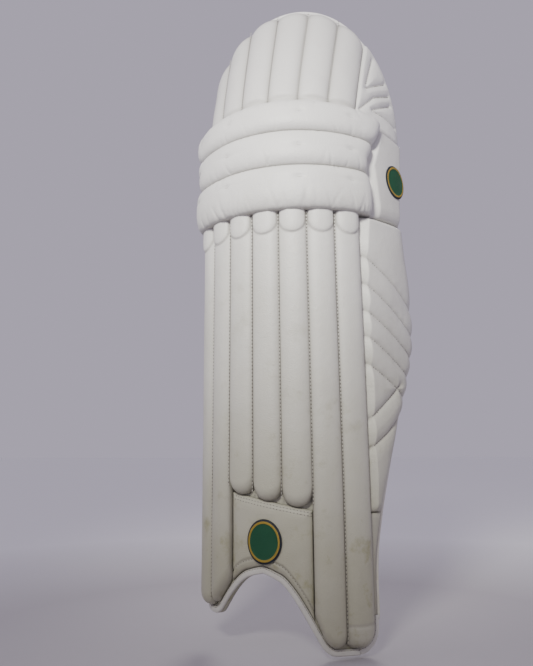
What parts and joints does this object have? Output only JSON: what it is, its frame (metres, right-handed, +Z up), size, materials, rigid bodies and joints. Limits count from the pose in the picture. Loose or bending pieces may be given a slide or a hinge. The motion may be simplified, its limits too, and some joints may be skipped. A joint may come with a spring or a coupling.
{
  "type": "batting pad",
  "caption": "Curved padded leg guard with upright shin rolls, knee bolsters across, spread thigh rolls, quilted side wings, forked foot and straps at the back",
  "frame": {"origin": "on the axis of the leg that wears the pad, at the level of the sole of the longer, outer foot of the pad", "axes": "+X to the outer side of the leg, +Y backwards, +Z up the leg; the padded face looks along -Y"},
  "size_m": [0.2532, 0.2031, 0.7606],
  "materials": {
    "facing": "satin",
    "lining": "matt",
    "binding": "satin",
    "strap": "matt",
    "towelling": "matt",
    "badge": "satin"
  },
  "bodies": {
    "root": {"backing": "lining", "shin_roll_1": "facing", "shin_roll_2": "facing", "shin_roll_3": "facing", "shin_roll_4": "facing", "shin_roll_5": "facing", "shin_roll_6": "facing", "shin_roll_7": "facing", "top_roll_1": "facing", "top_roll_2": "facing", "top_roll_3": "facing", "top_roll_4": "facing", "top_roll_5": "facing", "top_roll_6": "facing", "knee_bolster_lower": "facing", "knee_bolster_middle": "facing", "knee_bolster_upper": "facing", "knee_panel_outer": "facing", "upper_wing_outer": "facing", "calf_wing_outer": "facing", "ankle_wing_outer": "facing", "knee_panel_inner": "facing", "upper_wing_inner": "facing", "calf_wing_inner": "facing", "ankle_wing_inner": "facing", "instep_patch": "facing", "foot_binding": "binding", "edge_piping": "binding", "knee_strap": "strap", "calf_strap": "strap", "ankle_strap": "towelling", "knee_badge": "badge", "instep_badge": "badge"}
  },
  "joints": []
}
